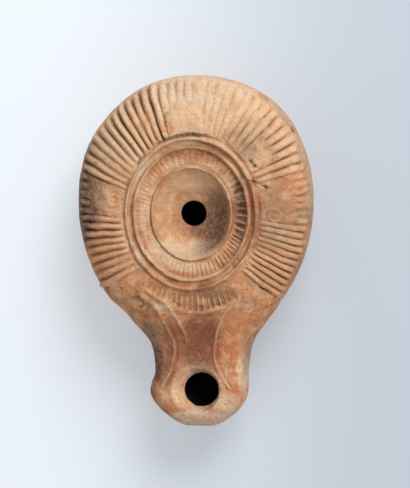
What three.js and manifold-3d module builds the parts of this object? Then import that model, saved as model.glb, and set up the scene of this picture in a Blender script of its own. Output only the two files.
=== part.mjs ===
// A mould-made clay oil lamp: one hollow piece of fired clay, in millimetres.
//
// +X is to the right, +Y points from the nozzle towards the round back, +Z is up.
// The origin is the centre of the flat foot, on the table. Directions in plan are
// given as turns in degrees, clockwise from +Y when seen from above.
//
// The lamp was pressed in two moulds that met at a seam, so each half is a height
// over the plan: topHeight() above the seam, bottomHeight() below it. The same two
// functions, moved in by the wall thickness, shape the oil chamber.

import * as THREE from 'three';
import { mergeVertices } from 'three/addons/utils/BufferGeometryUtils.js';
import Module from 'manifold-3d';

// ---------------------------------------------------------------- plan

const LENGTH = 98;
const BODY_RADIUS = 32.8; // half the width
const BODY_CENTRE_Y = 3.0; // the body is widest here
const BACK = 34.9; // the back reaches this far beyond that place
const BELLY = 40.2; // the egg-shaped front would reach this far
const BACK_FULLNESS = 2.12; // 2 would be an ellipse, more is squarer
const BACK_LEAN = { by: 0.6, from: 20, to: 40 }; // between these the back bulges to the right
const BACK_Y = BODY_CENTRE_Y + BACK;
const TIP = [1.0, BACK_Y - LENGTH];
const FLANK_TURN = 44; // the front leaves its egg for the nozzle this far below +X, in degrees
const CHORD_TURN = 24; // the body meets the nozzle on a chord this far either side of -Y

// From the tip to the body: rounded end, flared corner, waist, flank.
const RIGHT_FLANK = [
  [5.6, -59.8], [10.1, -57.3], [13.4, -53.7], [14.6, -49.9],
  [14.8, -43.5], [16.1, -36.5], [19.3, -31.3], [22.7, -26.7],
];
const LEFT_FLANK = [
  [-3.5, -59.8], [-7.5, -57.5], [-11.1, -54.2], [-12.9, -50.9],
  [-12.4, -47.2], [-11.8, -43.2], [-12.9, -36.8], [-17.4, -31.2], [-19.6, -28.4],
];

// ---------------------------------------------------------------- heights

const SEAM_Z = 14.5;
const NOZZLE_SEAM_Z = 12.8;
const SHOULDER_Z = 27.2;
const NOZZLE_Z = 21.4;
const KEEL_Z = 0.9; // underside of the body, just clear of the table
const NOZZLE_KEEL_Z = 6.4;
const SHOULDER_DROP = 14; // width of the rounded shoulder in plan
const NOZZLE_DROP = 4.8;
const BOWL_DROP = 18; // width of the rounded underside in plan
const NOZZLE_BOWL_DROP = 10;
const TOP_FULLNESS = 2.4; // 2 is a quarter ellipse, more is squarer
const BOTTOM_FULLNESS = 1.6;
const NECK_START_Y = -21; // the body's heights turn into the nozzle's between these
const NECK_END_Y = -41;
const WALL = 3.6;

// ---------------------------------------------------------------- carving

const RING_STRETCH = 1.15; // the rings are this much longer along Y than along X
const SHOULDER_START = 18.6; // half the width of the ringed centre

// Profile of the ringed centre, from the axis outward: [half width, height].
const FUNNEL = [[0, 19.9], [3.6, 20.0], [6.3, 20.9], [8.8, 23.3], [10.7, 25.7]];
const DISCUS_RIDGE = [[11.2, 26.5], [11.8, 26.0]];
const TONGUE_BAND = [[12.3, 26.2], [14.9, 26.7]];
const OUTER_RINGS = [[15.7, 27.6], [16.8, 26.6], [18.0, 28.0]];
const TONGUES = 54;
const TONGUE_RISE = 0.25; // each way from the band

const RIB_RISE = 0.42; // each way from the shoulder, at the middle of a rib
const RIB_MIDDLE = 25; // distance of that middle from the axis
const RIB_EDGE = 1.5; // the ribs stop this far inside the outline
// The shoulder, clockwise from +Y: where each stretch ends, the ribs it had, and how much of
// them is left. The back's are faint. The two sides and the neck are smooth.
const STRETCHES = [
  { to: 26, ribs: 6, strength: 0.4 },
  { to: 65, ribs: 9, strength: 0.8 },
  { to: 94.5, ribs: 7, strength: 0 },
  { to: 139, ribs: 11, strength: 0.9 },
  { to: 222.5, ribs: 0, strength: 0 },
  { to: 266, ribs: 9, strength: 1 },
  { to: 289.5, ribs: 5, strength: 0 },
  { to: 344, ribs: 12, strength: 1 },
  { to: 360, ribs: 4, strength: 0.5 },
];

// The broken handle's root, a low pad between the rings and the back.
const PAD = { x: -2.6, y: 26.0, halfWidth: 6.0, halfLength: 5.4, soft: 1.6, rise: 0.8 };

const VOLUTE_RADIUS = 0.75;
const VOLUTE_LIFT = 0.1; // its middle lies this far above the surface
const VOLUTE_SIDES = 5;
const VOLUTES = [
  [[-12.6, -21.0], [-8.4, -23.9], [-5.4, -26.9], [-2.5, -31.5], [-1.5, -36.5]],
  [
    [-14.8, -22.0], [-11.9, -24.2], [-8.9, -28.3], [-5.6, -35.1],
    [-5.2, -39.0], [-6.6, -44.3], [-9.3, -49.4],
  ],
  [[14.0, -22.3], [8.7, -27.8], [6.5, -34.6], [5.5, -39.4], [7.9, -45.5], [10.3, -48.8]],
];
const SCROLLS = [[-14.5, -25.1], [15.0, -25.6]]; // the volutes' eyes
const SCROLL_RADIUS = 1.9;
const SCROLL_RISE = 0.95;

// ---------------------------------------------------------------- holes and foot

const FILLING_HOLE = { x: 0, y: -0.2, radius: 3.6 };
const WICK_HOLE = { x: 2.0, y: -49.3, radius: 4.7 };
const WICK_BEVEL = { x: 0.9, y: -49.3, radius: 6.4, depth: 2.0 };
const FOOT_RADIUS = 15; // half the foot's width
const FOOT_STEP = 0.6; // the underside starts this far outside it
const FOOT_GROOVE = { inner: 11.4, outer: 13.2, slope: 0.4, depth: 0.5 };

// ---------------------------------------------------------------- fineness

const BACK_STEPS = 60; // of the outline, in each quarter of the back
const BELLY_STEPS = 40; // each side of the egg-shaped front
const FLANK_STEPS = 90;
const FUNNEL_COLUMNS = 36;
const FOOT_COLUMNS = 48;
const CHAMBER_COLUMNS = 40;
const NOZZLE_COLUMNS = 36;
const HOLE_SIDES = 32;
const CHORD_COLUMNS = 22;
const NECK_COLUMNS = 6; // on each side, between the ribs and the chord
const CHORD_SPREAD = 2.5; // rows near the chord lie this much further apart than at the edge
const CHORD_REACH = 0.8; // outline points this near the chord's ends can be the nozzle's first and last
const RIM_ROOM = 1.4; // the nozzle's first row lies this far outside the bevel
const EDGE_ROWS = [0.6, 0.12]; // the body's last rows, from the outline
const SHOULDER_ROW = 1.2; // the shoulder's first row of ribs, from the rings
const NOZZLE_EDGE_ROWS = [2.4, 1.2, 0.5, 0.1];

const CLAY = { color: 0xb5744e, roughness: 0.9, metalness: 0 };

// ---------------------------------------------------------------- small helpers

const radians = THREE.MathUtils.degToRad;
const lerp = THREE.MathUtils.lerp;
const smoothstep = THREE.MathUtils.smoothstep;

function turnOf(x, y) {
  const turn = THREE.MathUtils.radToDeg(Math.atan2(x, y));
  return turn < 0 ? turn + 360 : turn;
}

function range(count) {
  return Array.from({ length: count }, (_, index) => index);
}

function interpolate(profile, value) {
  const next = profile.findIndex(([at]) => at >= value);
  if (next <= 0) return profile[next === 0 ? 0 : profile.length - 1][1];
  const [[a, low], [b, high]] = [profile[next - 1], profile[next]];
  return lerp(low, high, (value - a) / (b - a));
}

// ---------------------------------------------------------------- outline at the seam

// A place on the body's outline, in degrees counter-clockwise from +X.
function bodyPlace(degrees, halfLength, fullness) {
  const grown = (value) => Math.sign(value) * Math.abs(value) ** (2 / fullness);
  const y = BODY_CENTRE_Y + halfLength * grown(Math.sin(radians(degrees)));
  const share = THREE.MathUtils.clamp((y - BACK_LEAN.from) / (BACK_LEAN.to - BACK_LEAN.from), 0, 1);
  return [BODY_RADIUS * grown(Math.cos(radians(degrees))) + BACK_LEAN.by * Math.sin(Math.PI * share), y];
}

function bodyArc(from, to, steps, halfLength, fullness) {
  return range(steps).map((step) => {
    const place = bodyPlace(lerp(from, to, step / steps), halfLength, fullness);
    return new THREE.Vector2(...place);
  });
}

function flankCurve(places) {
  const curve = new THREE.SplineCurve(places.map((place) => new THREE.Vector2(...place)));
  return curve.getPoints(FLANK_STEPS).slice(0, -1);
}

// The whole outline as a closed list of points, clockwise from the back, moved in by inset.
function outlinePoints(inset) {
  const [right, left] = [-FLANK_TURN, FLANK_TURN - 180];
  const points = [
    ...bodyArc(90, 0, BACK_STEPS, BACK, BACK_FULLNESS),
    ...bodyArc(0, right, BELLY_STEPS, BELLY, 2),
    ...flankCurve([bodyPlace(right, BELLY, 2), ...RIGHT_FLANK.toReversed(), TIP]),
    ...flankCurve([TIP, ...LEFT_FLANK, bodyPlace(left, BELLY, 2)]),
    ...bodyArc(left, -180, BELLY_STEPS, BELLY, 2),
    ...bodyArc(180, 90, BACK_STEPS, BACK, BACK_FULLNESS),
  ];
  return points.map((point, index) => {
    const before = points[(index + points.length - 1) % points.length];
    const after = points[(index + 1) % points.length];
    const along = after.clone().sub(before).normalize();
    return new THREE.Vector2(point.x + along.y * inset, point.y - along.x * inset);
  });
}

const OUTLINE = outlinePoints(0);

function distanceToOutline(x, y) {
  let nearest = Infinity;
  for (let index = 0; index < OUTLINE.length; index++) {
    const a = OUTLINE[index];
    const b = OUTLINE[(index + 1) % OUTLINE.length];
    const [dx, dy] = [b.x - a.x, b.y - a.y];
    const share = THREE.MathUtils.clamp(((x - a.x) * dx + (y - a.y) * dy) / (dx * dx + dy * dy), 0, 1);
    nearest = Math.min(nearest, Math.hypot(x - a.x - dx * share, y - a.y - dy * share));
  }
  return nearest;
}

// Where the line from the origin in the given turn leaves the closed outline.
function outlineAt(outline, turn) {
  const [sx, sy] = [Math.sin(radians(turn)), Math.cos(radians(turn))];
  for (let index = 0; index < outline.length; index++) {
    const a = outline[index];
    const b = outline[(index + 1) % outline.length];
    const sideA = a.x * sy - a.y * sx;
    const sideB = b.x * sy - b.y * sx;
    const ahead = (a.x + b.x) * sx + (a.y + b.y) * sy > 0;
    if (ahead && sideA <= 0 && sideB > 0) return a.clone().lerp(b, sideA / (sideA - sideB));
  }
  throw new Error(`no outline in the turn ${turn}`);
}

// ---------------------------------------------------------------- heights over the plan

function neckShare(y) {
  return smoothstep(-y, -NECK_START_Y, -NECK_END_Y);
}

function rounded(share, fullness) {
  const inward = 1 - THREE.MathUtils.clamp(share, 0, 1);
  return (1 - inward ** fullness) ** (1 / fullness);
}

function seamHeight(y) {
  return lerp(SEAM_Z, NOZZLE_SEAM_Z, neckShare(y));
}

function ringRadius(x, y) {
  return Math.hypot(x, y / RING_STRETCH);
}

function padHeight(x, y) {
  const across = smoothstep(PAD.halfWidth - Math.abs(x - PAD.x), 0, PAD.soft);
  const along = smoothstep(PAD.halfLength - Math.abs(y - PAD.y), 0, PAD.soft);
  return PAD.rise * across * along;
}

function topHeight(x, y, inset) {
  const ring = ringRadius(x, y);
  if (ring < SHOULDER_START) {
    const carved = inset ? [] : [...DISCUS_RIDGE, ...TONGUE_BAND, ...OUTER_RINGS];
    return interpolate([...FUNNEL, ...carved, [SHOULDER_START, SHOULDER_Z]], ring) - inset;
  }
  const seam = seamHeight(y);
  const crown = lerp(SHOULDER_Z, NOZZLE_Z, neckShare(y)) - inset;
  const drop = lerp(SHOULDER_DROP, NOZZLE_DROP, neckShare(y)) - inset;
  const share = (distanceToOutline(x, y) - inset) / drop;
  return lerp(seam, crown, rounded(share, TOP_FULLNESS));
}

function bottomHeight(x, y, inset) {
  const seam = seamHeight(y);
  const keel = lerp(KEEL_Z, NOZZLE_KEEL_Z, smoothstep(-y, FOOT_RADIUS, -TIP[1])) + inset;
  const drop = lerp(BOWL_DROP, NOZZLE_BOWL_DROP, neckShare(y)) - inset;
  const share = (distanceToOutline(x, y) - inset) / drop;
  return lerp(seam, keel, rounded(share, BOTTOM_FULLNESS));
}

function ribHeight(x, y) {
  const turn = turnOf(x, y);
  const index = STRETCHES.findIndex(({ to }) => turn <= to);
  const { to, ribs, strength } = STRETCHES[index];
  const from = index ? STRETCHES[index - 1].to : 0;
  const wave = -Math.cos((2 * Math.PI * ribs * (turn - from)) / (to - from));
  const inner = smoothstep(ringRadius(x, y), SHOULDER_START, SHOULDER_START + 1);
  const outer = smoothstep(distanceToOutline(x, y), RIB_EDGE, RIB_EDGE + 1);
  return ribs ? ((RIB_RISE * Math.hypot(x, y)) / RIB_MIDDLE) * strength * wave * inner * outer : 0;
}

// ---------------------------------------------------------------- skins

// A closed skin made of rings of points. Each ring is a list of { index, turn }, in the
// order of turn, and zip() joins two rings that need not have as many points.
class Skin {
  constructor() {
    this.positions = [];
    this.triangles = [];
  }

  point(x, y, z) {
    this.positions.push(x, y, z);
    return this.positions.length / 3 - 1;
  }

  ring(places, height) {
    return places.map(([x, y, turn]) => ({ index: this.point(x, y, height(x, y)), turn }));
  }

  triangle(a, b, c, flip) {
    this.triangles.push(...(flip ? [a, c, b] : [a, b, c]));
  }

  fan(centre, ring, flip) {
    ring.forEach((corner, at) => {
      this.triangle(centre, ring[(at + 1) % ring.length].index, corner.index, flip);
    });
  }

  zip(inner, outer, flip) {
    let [i, o] = [0, 0];
    const turnAfter = (ring, at) => (at < ring.length ? ring[at].turn : ring[at - ring.length].turn + 360);
    while (i < inner.length || o < outer.length) {
      const a = inner[i % inner.length].index;
      const b = outer[o % outer.length].index;
      const outerIsNext = turnAfter(outer, o + 1) <= turnAfter(inner, i + 1);
      const stepOuter = i === inner.length || (o < outer.length && outerIsNext);
      const next = stepOuter ? outer[++o % outer.length] : inner[++i % inner.length];
      this.triangle(a, next.index, b, flip);
    }
  }

  zipAll(rings, flip) {
    rings.slice(1).forEach((ring, at) => this.zip(rings[at], ring, flip));
  }

  geometry() {
    const geometry = new THREE.BufferGeometry();
    geometry.setAttribute('position', new THREE.Float32BufferAttribute(this.positions, 3));
    geometry.setIndex(this.triangles);
    return geometry;
  }
}

function ellipsePlaces(radius, columns) {
  return range(columns).map((column) => {
    const angle = (2 * Math.PI * column) / columns;
    const [x, y] = [radius * Math.sin(angle), radius * RING_STRETCH * Math.cos(angle)];
    return [x, y, turnOf(x, y)];
  });
}

// Turns of the shoulder's columns: a crest and a groove for every rib, and the chord's ends.
function shoulderTurns() {
  const turns = [];
  let from = 0;
  for (const { to, ribs, strength } of STRETCHES) {
    const steps = strength ? 2 * ribs : ribs;
    turns.push(...range(steps).map((step) => from + ((to - from) * step) / steps));
    if (!ribs) {
      const stops = [from, 180 - CHORD_TURN, 180 + CHORD_TURN, to];
      [NECK_COLUMNS, CHORD_COLUMNS, NECK_COLUMNS].forEach((count, at) => {
        turns.push(...range(count).map((step) => lerp(stops[at], stops[at + 1], step / count)));
      });
    }
    from = to;
  }
  return turns;
}

function evenTurns(columns) {
  const [start, end] = [180 - CHORD_TURN, 180 + CHORD_TURN];
  const onChord = Math.round((columns * CHORD_TURN) / 180);
  const onBody = columns - onChord;
  const turns = range(onChord).map((step) => lerp(start, end, step / onChord));
  turns.push(...range(onBody).map((step) => lerp(end, start + 360, step / onBody) % 360));
  return turns.sort((a, b) => a - b);
}

// The closed solid between topHeight and bottomHeight. The body is a set of rings about the
// origin and the nozzle a set of rings about the wick hole; they share the chord between them.
function mouldedSolid({ inset, turns, discus, relief, bodyRows, foot, nozzleRows, nozzleColumns }) {
  const skin = new Skin();
  const outline = inset ? outlinePoints(inset) : OUTLINE;
  const [start, end] = [180 - CHORD_TURN, 180 + CHORD_TURN];
  const chordEnds = [start, end].map((turn) => outlineAt(outline, turn));
  const onChord = (turn) => turn > start + 1e-6 && turn < end - 1e-6;
  const chordAt = (turn) => {
    const [a, b] = chordEnds;
    const slope = new THREE.Vector2(Math.sin(radians(turn)), Math.cos(radians(turn)));
    const span = b.clone().sub(a);
    return a.clone().addScaledVector(span, a.cross(slope) / slope.cross(span));
  };
  const edgeAt = (turn) => (onChord(turn) ? chordAt(turn) : outlineAt(outline, turn));
  const edge = new Map(turns.map((turn) => [turn, edgeAt(turn)]));
  const top = (x, y) => topHeight(x, y, inset) + relief(x, y);
  const bottom = (x, y) => bottomHeight(x, y, inset);

  // Places on the straight columns from an inner ellipse to the body's edge.
  const bodyPlaces = (columns, innerRadius, row) => columns.map((turn) => {
    const direction = new THREE.Vector2(Math.sin(radians(turn)), Math.cos(radians(turn)));
    const reach = innerRadius / ringRadius(direction.x, direction.y);
    const length = edge.get(turn).length() - reach;
    const { x, y } = direction.multiplyScalar(reach + row(length, onChord(turn) ? CHORD_SPREAD : 1));
    return [x, y, turn];
  });

  const seamPoints = new Map(turns.filter((turn) => !onChord(turn)).map((turn) => {
    const { x, y } = edge.get(turn);
    return [turn, skin.point(x, y, seamHeight(y))];
  }));
  const edgeRing = (height) => turns.map((turn) => {
    const { x, y } = edge.get(turn);
    return { index: seamPoints.get(turn) ?? skin.point(x, y, height(x, y)), turn };
  });
  const topEdge = edgeRing(top);
  const bottomEdge = edgeRing(bottom);

  const ellipseRing = ({ radius, columns, height }, surface) => (
    skin.ring(ellipsePlaces(radius, columns), height ?? surface));
  const centreRings = discus.map((ring) => ellipseRing(ring, top));
  const shoulderRings = bodyRows.map((row) => skin.ring(bodyPlaces(turns, SHOULDER_START, row), top));
  skin.fan(skin.point(0, 0, top(0, 0)), centreRings[0], false);
  skin.zipAll([...centreRings, ...shoulderRings, topEdge], false);

  const footRings = foot.rings.map((ring) => ellipseRing({ columns: foot.columns, ...ring }, bottom));
  const bowlTurns = evenTurns(foot.columns);
  bowlTurns.filter((turn) => !edge.has(turn)).forEach((turn) => edge.set(turn, edgeAt(turn)));
  const lastFoot = foot.rings.at(-1).radius;
  const bowlRings = foot.rows.map((row) => skin.ring(bodyPlaces(bowlTurns, lastFoot, row), bottom));
  const footMiddle = foot.rings[0].height ?? bottom;
  skin.fan(skin.point(0, 0, footMiddle(0, 0)), footRings[0], true);
  skin.zipAll([...footRings, ...bowlRings, bottomEdge], true);

  // Nozzle: along the outline from one end of the chord round the tip to the other, then back.
  const near = (point, chordEnd) => point.distanceTo(chordEnd) < CHORD_REACH;
  const first = outline.findIndex((point) => near(point, chordEnds[0]) && turnOf(point.x, point.y) > start);
  const last = outline.findLastIndex((point) => near(point, chordEnds[1]) && turnOf(point.x, point.y) < end);
  const flankPlaces = [chordEnds[0], ...outline.slice(first, last + 1), chordEnds[1]];
  const flankPath = new THREE.CatmullRomCurve3(flankPlaces.map(({ x, y }) => new THREE.Vector3(x, y, 0)));
  const flank = flankPath.getSpacedPoints(nozzleColumns).slice(1, -1);
  const flankIndices = flank.map(({ x, y }) => skin.point(x, y, seamHeight(y)));
  const chordRing = (ring) => ring.filter(({ turn }) => turn > start - 1e-6 && turn < end + 1e-6).reverse();
  const halves = [
    [topEdge, top, nozzleRows.top, false],
    [bottomEdge, bottom, nozzleRows.bottom, true],
  ];
  for (const [ring, height, rows, flip] of halves) {
    const border = [...flankIndices, ...chordRing(ring).map(({ index }) => index)];
    const place = (index) => new THREE.Vector2(...skin.positions.slice(3 * index, 3 * index + 2));
    const turnsAround = border.map((_, at) => (360 * at) / border.length);
    const rings = rows.map((row) => skin.ring(border.map((index, at) => {
      const offset = place(index).sub(WICK_HOLE);
      const length = offset.length();
      const spread = at > flankIndices.length ? CHORD_SPREAD : 1;
      offset.multiplyScalar(row(length, spread) / length).add(WICK_HOLE);
      return [offset.x, offset.y, turnsAround[at]];
    }), height));
    const borderRing = border.map((index, at) => ({ index, turn: turnsAround[at] }));
    skin.fan(skin.point(WICK_HOLE.x, WICK_HOLE.y, height(WICK_HOLE.x, WICK_HOLE.y)), rings[0], flip);
    skin.zipAll([...rings, borderRing], flip);
  }
  return skin.geometry();
}

// Row makers: a distance from the inner end, from the outer end, or a share between.
const fromInner = (distance) => () => distance;
const fromOuter = (distance) => (length, spread) => length - distance * spread;
function between(share, inner, outer) {
  return (length, spread) => lerp(inner, length - outer * spread, share);
}

function tongueRing(radius, height) {
  const rise = (x, y) => {
    const tongue = (Math.atan2(x, y / RING_STRETCH) * TONGUES) / 2 / Math.PI;
    return height - TONGUE_RISE * Math.cos(2 * Math.PI * tongue);
  };
  return { radius, columns: 2 * TONGUES, height: rise };
}

function outerGeometry() {
  const plainRing = ([radius]) => ({ radius, columns: 2 * TONGUES });
  const discus = [
    ...FUNNEL.slice(2).map(([radius]) => ({ radius, columns: FUNNEL_COLUMNS })),
    ...DISCUS_RIDGE.map(plainRing),
    ...TONGUE_BAND.map(([radius, height]) => tongueRing(radius, height)),
    ...OUTER_RINGS.map(plainRing),
  ];
  const rim = WICK_BEVEL.radius + RIM_ROOM;
  const groove = () => FOOT_GROOVE.depth;
  const flat = () => 0;
  return mouldedSolid({
    inset: 0,
    turns: shoulderTurns(),
    discus,
    relief: (x, y) => (ringRadius(x, y) < SHOULDER_START ? 0 : ribHeight(x, y) + padHeight(x, y)),
    bodyRows: [
      fromInner(0),
      fromInner(SHOULDER_ROW),
      ...[0.25, 0.5, 0.75].map((share) => between(share, SHOULDER_ROW, RIB_EDGE + SHOULDER_ROW)),
      ...[RIB_EDGE + SHOULDER_ROW, RIB_EDGE, ...EDGE_ROWS].map(fromOuter),
    ],
    foot: {
      columns: FOOT_COLUMNS,
      rings: [
        { radius: FOOT_GROOVE.inner, height: flat },
        { radius: FOOT_GROOVE.inner + FOOT_GROOVE.slope, height: groove },
        { radius: FOOT_GROOVE.outer - FOOT_GROOVE.slope, height: groove },
        { radius: FOOT_GROOVE.outer, height: flat },
        { radius: FOOT_RADIUS, height: flat },
        { radius: FOOT_RADIUS + FOOT_STEP },
      ],
      rows: [between(0.4, 0, 0), between(0.7, 0, 0), fromOuter(2), fromOuter(0.5), fromOuter(0.1)],
    },
    nozzleRows: {
      top: [
        fromInner(rim),
        ...[0.35, 0.7].map((share) => between(share, rim, NOZZLE_EDGE_ROWS[0])),
        ...NOZZLE_EDGE_ROWS.map(fromOuter),
      ],
      bottom: [between(0.35, 0, 0), between(0.65, 0, 0), fromOuter(2), fromOuter(0.3)],
    },
    nozzleColumns: NOZZLE_COLUMNS,
  });
}

function chamberGeometry() {
  return mouldedSolid({
    inset: WALL,
    turns: evenTurns(CHAMBER_COLUMNS),
    discus: FUNNEL.slice(2).map(([radius]) => ({ radius, columns: FUNNEL_COLUMNS / 2 })),
    relief: () => 0,
    bodyRows: [fromInner(0), between(0.5, 0, 0), fromOuter(1.5), fromOuter(0.3)],
    foot: {
      columns: CHAMBER_COLUMNS,
      rings: [{ radius: FOOT_RADIUS }],
      rows: [between(0.5, 0, 0), fromOuter(1)],
    },
    nozzleRows: { top: [fromInner(5), fromOuter(0.5)], bottom: [fromInner(5), fromOuter(1)] },
    nozzleColumns: NOZZLE_COLUMNS / 2,
  });
}

// ---------------------------------------------------------------- ridges and holes

// A raised ridge that follows a line over the top.
function voluteGeometry(line) {
  const steps = line.length * 2;
  const plan = new THREE.CatmullRomCurve3(line.map(([x, y]) => new THREE.Vector3(x, y, 0)));
  const places = plan.getSpacedPoints(steps).map(({ x, y }) => (
    new THREE.Vector3(x, y, topHeight(x, y, 0) + VOLUTE_LIFT)));
  const section = new THREE.Shape(range(VOLUTE_SIDES).map((corner) => {
    const angle = (2 * Math.PI * corner) / VOLUTE_SIDES;
    return new THREE.Vector2(VOLUTE_RADIUS * Math.cos(angle), VOLUTE_RADIUS * Math.sin(angle));
  }));
  return new THREE.ExtrudeGeometry(section, { steps, extrudePath: new THREE.CatmullRomCurve3(places) });
}

function scrollGeometry([x, y]) {
  const eye = new THREE.SphereGeometry(SCROLL_RADIUS, 10, 6);
  eye.scale(1, 1, SCROLL_RISE / SCROLL_RADIUS);
  return eye.translate(x, y, topHeight(x, y, 0));
}

function cylinderGeometry({ x, y, radius }, low, high) {
  const cylinder = new THREE.CylinderGeometry(radius, radius, high - low, HOLE_SIDES);
  return cylinder.rotateX(Math.PI / 2).translate(x, y, (low + high) / 2);
}

// The wick hole's bevel: a cone between two circles that aren't quite above each other.
function bevelGeometry() {
  const rise = 1.5 * WICK_BEVEL.depth; // on past the surface, so that the cut is clean
  const slope = (WICK_BEVEL.radius - WICK_HOLE.radius) / WICK_BEVEL.depth;
  const outer = WICK_HOLE.radius + slope * rise;
  const cone = new THREE.CylinderGeometry(outer, WICK_HOLE.radius, rise, HOLE_SIDES);
  cone.rotateX(Math.PI / 2).translate(0, 0, rise / 2);
  const lean = new THREE.Matrix4().set(
    1, 0, (WICK_BEVEL.x - WICK_HOLE.x) / WICK_BEVEL.depth, WICK_HOLE.x,
    0, 1, (WICK_BEVEL.y - WICK_HOLE.y) / WICK_BEVEL.depth, WICK_HOLE.y,
    0, 0, 1, topHeight(WICK_HOLE.x, WICK_HOLE.y, 0) - WICK_BEVEL.depth,
    0, 0, 0, 1,
  );
  return cone.applyMatrix4(lean);
}

// ---------------------------------------------------------------- joining

const wasm = await Module();
wasm.setup();

function toManifold(geometry) {
  const bare = geometry.clone();
  bare.deleteAttribute('normal');
  bare.deleteAttribute('uv');
  const merged = mergeVertices(bare, 1e-4);
  return new wasm.Manifold(new wasm.Mesh({
    numProp: 3,
    vertProperties: new Float32Array(merged.attributes.position.array),
    triVerts: new Uint32Array(merged.index.array),
  }));
}

function toGeometry(manifold) {
  const { vertProperties, triVerts } = manifold.getMesh();
  const geometry = new THREE.BufferGeometry();
  geometry.setAttribute('position', new THREE.BufferAttribute(vertProperties, 3));
  geometry.setIndex(new THREE.BufferAttribute(triVerts, 1));
  return geometry;
}

function lampBody() {
  const raised = [...VOLUTES.map(voluteGeometry), ...SCROLLS.map(scrollGeometry)];
  const outer = toManifold(outerGeometry());
  const carved = raised.reduce((solid, geometry) => solid.add(toManifold(geometry)), outer);
  const hollows = [
    chamberGeometry(),
    cylinderGeometry(FILLING_HOLE, SEAM_Z, SHOULDER_Z),
    cylinderGeometry(WICK_HOLE, NOZZLE_SEAM_Z, SHOULDER_Z),
    bevelGeometry(),
  ];
  const hollowed = hollows.reduce((solid, geometry) => solid.subtract(toManifold(geometry)), carved);
  const mesh = new THREE.Mesh(toGeometry(hollowed), new THREE.MeshStandardMaterial(CLAY));
  mesh.name = 'lamp_body';
  return mesh;
}

const lamp = new THREE.Group();
lamp.add(lampBody());

export default lamp;
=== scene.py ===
"""A worn Roman oil lamp of fired clay, standing on a pale table and seen from above.

The frame's hollow solid gives the lamp its size. This scene builds the same form with a finer skin, carves
the moulded relief, the wear and the damage into it, and paints clay, soot, lime and burial stains over it,
with painted shade and shadow in the funnel, the grooves and the hollow inside, and painted highlight on
crests.
Lengths are in millimetres until the mesh is made. Turns are in degrees, clockwise from +Y seen from above.
"""

import math
from types import SimpleNamespace

import bpy
import numpy as np
from mathutils import Matrix, Vector


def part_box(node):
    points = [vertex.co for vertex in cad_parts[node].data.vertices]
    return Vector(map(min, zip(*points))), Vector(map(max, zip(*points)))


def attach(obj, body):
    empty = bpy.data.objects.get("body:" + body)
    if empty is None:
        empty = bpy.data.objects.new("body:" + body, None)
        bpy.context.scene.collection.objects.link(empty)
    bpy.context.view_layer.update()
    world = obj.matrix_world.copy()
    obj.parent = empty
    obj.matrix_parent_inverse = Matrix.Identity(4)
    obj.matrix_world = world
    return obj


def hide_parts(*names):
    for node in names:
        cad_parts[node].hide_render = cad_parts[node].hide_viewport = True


MM = 0.001
BOX_MARGIN = 0.001

# ---- form of the lamp

BODY_RADIUS = 32.8
BODY_CENTRE_Y = 3.0
BACK = 34.9
BELLY = 40.2
BACK_FULLNESS = 2.12
BACK_LEAN = 0.6
LEAN_START = 20
LEAN_END = 40
FLANK_TURN = 44
CHORD_TURN = 24
TIP = (1.0, -60.1)
RIGHT_FLANK = [
    (5.6, -59.8), (10.1, -57.3), (13.4, -53.7), (14.6, -49.9),
    (14.8, -43.5), (16.1, -36.5), (19.3, -31.3), (22.7, -26.7),
]
LEFT_FLANK = [
    (-3.5, -59.8), (-7.5, -57.5), (-11.1, -54.2), (-12.9, -50.9),
    (-12.4, -47.2), (-11.8, -43.2), (-12.9, -36.8), (-17.4, -31.2), (-19.6, -28.4),
]

SEAM_Z = 14.5
NOZZLE_SEAM_Z = 12.8
SHOULDER_Z = 27.2
NOZZLE_Z = 21.4
KEEL_Z = 0.9
NOZZLE_KEEL_Z = 6.4
SHOULDER_DROP = 14
NOZZLE_DROP = 4.8
BOWL_DROP = 18
NOZZLE_BOWL_DROP = 10
TOP_FULLNESS = 2.4
BOTTOM_FULLNESS = 1.6
NECK_START = 21
NECK_END = 41
WALL = 3.6
NOZZLE_WALL = 4.4

RING_STRETCH = 1.15
SHOULDER_START = 18.6
FUNNEL = [(0, 19.9), (3.6, 20.0), (6.2, 20.5), (6.8, 21.0), (7.3, 21.2), (8.9, 23.1), (10.7, 25.7)]
DISCUS_RIDGE = [(11.15, 26.6), (11.6, 25.95)]
TONGUE_BAND = [(12.3, 26.1), (15.1, 26.6)]
OUTER_RINGS = [
    (15.4, 26.8), (15.8, 27.6), (16.2, 26.75), (17.3, 26.5), (17.85, 27.95), (18.3, 27.3), (18.6, 27.0),
]

FILLING_HOLE = (0.0, -0.2, 3.6)
WICK_HOLE = (2.0, -49.3, 4.7)
WICK_BEVEL = (0.9, -49.3, 6.4)
BEVEL_DEPTH = 2.0
FOOT_RADIUS = 15
FOOT_GROOVE = (11.4, 13.2)
FOOT_GROOVE_DEPTH = 0.5

# ---- moulded relief

RIB_DEPTH = 1.45
RIB_EDGE = 1.3
LEFT_RIB_EDGE = 1.0
# Each stretch of the shoulder: first turn, last turn, ribs, strength, how far in from the edge the ribs are
# kept, and how full they are: 1 is a thin crest, 4 a broad ridge with narrow grooves.
COUNT, STRENGTH, REACH, FULLNESS = 2, 3, 4, 5
WHOLE = 30
RIB_STRETCHES = [
    (0, 6, 1, 0.3, 8, 2.6), (6, 26, 5, 0.4, 16, 2.6), (26, 39, 3, 0.9, WHOLE, 3.6),
    (39, 56, 4, 0.95, 8.5, 3.0), (56, 65, 2, 1.15, WHOLE, 3.0), (65, 94.5, 7, 0.5, 4.8, 2.2),
    (94.5, 139, 11, 0.9, WHOLE, 3.2),
    (139, 222.5, 2, 0.0, 1, 2), (222.5, 266, 9, 1.15, WHOLE, 1.35), (266, 289.5, 5, 0.8, 4.2, 1.4),
    (289.5, 344, 12, 1.15, WHOLE, 1.7), (344, 360, 4, 0.5, 7.5, 2.0),
]
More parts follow.
